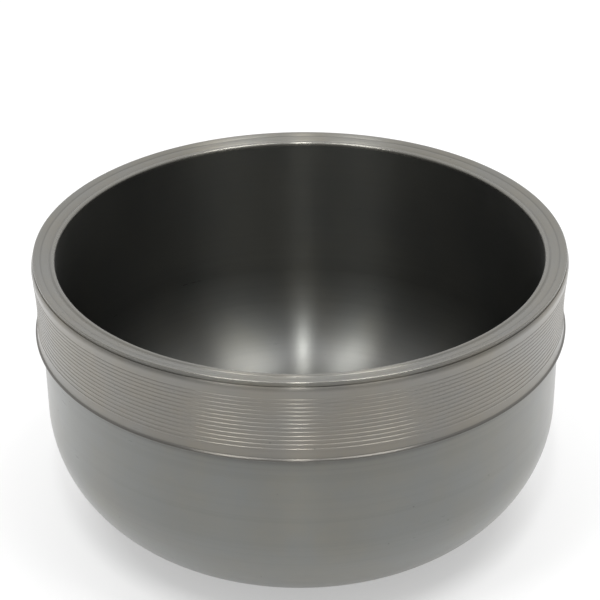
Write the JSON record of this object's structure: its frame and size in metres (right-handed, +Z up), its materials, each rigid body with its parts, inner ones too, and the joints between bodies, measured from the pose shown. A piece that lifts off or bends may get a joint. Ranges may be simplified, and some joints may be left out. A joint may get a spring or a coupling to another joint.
{
  "type": "waste water bowl",
  "caption": "Low wide turned bronze bowl with a rounded body, a waisted collar of raised thread lines and an arched lip, for receiving waste water in the tea ceremony.",
  "frame": {"origin": "centre of the circle that the foot ring stands on, at table height", "axes": "+Z up along the bowl's axis of revolution; +X and +Y are any two level directions, because the bowl is round"},
  "size_m": [0.1508, 0.1508, 0.084],
  "materials": {
    "body_bronze": "dark patinated bronze, finely turned, satin",
    "band_bronze": "dark patinated bronze, rubbed bright along the thread lines",
    "lip_bronze": "dark patinated bronze, worn a little lighter on the crown",
    "foot_bronze": "dark patinated bronze, plain turned"
  },
  "bodies": {
    "root": {"bowl_body": "body_bronze", "thread_band": "band_bronze", "mouth_ring": "lip_bronze", "foot_ring": "foot_bronze"}
  },
  "joints": []
}
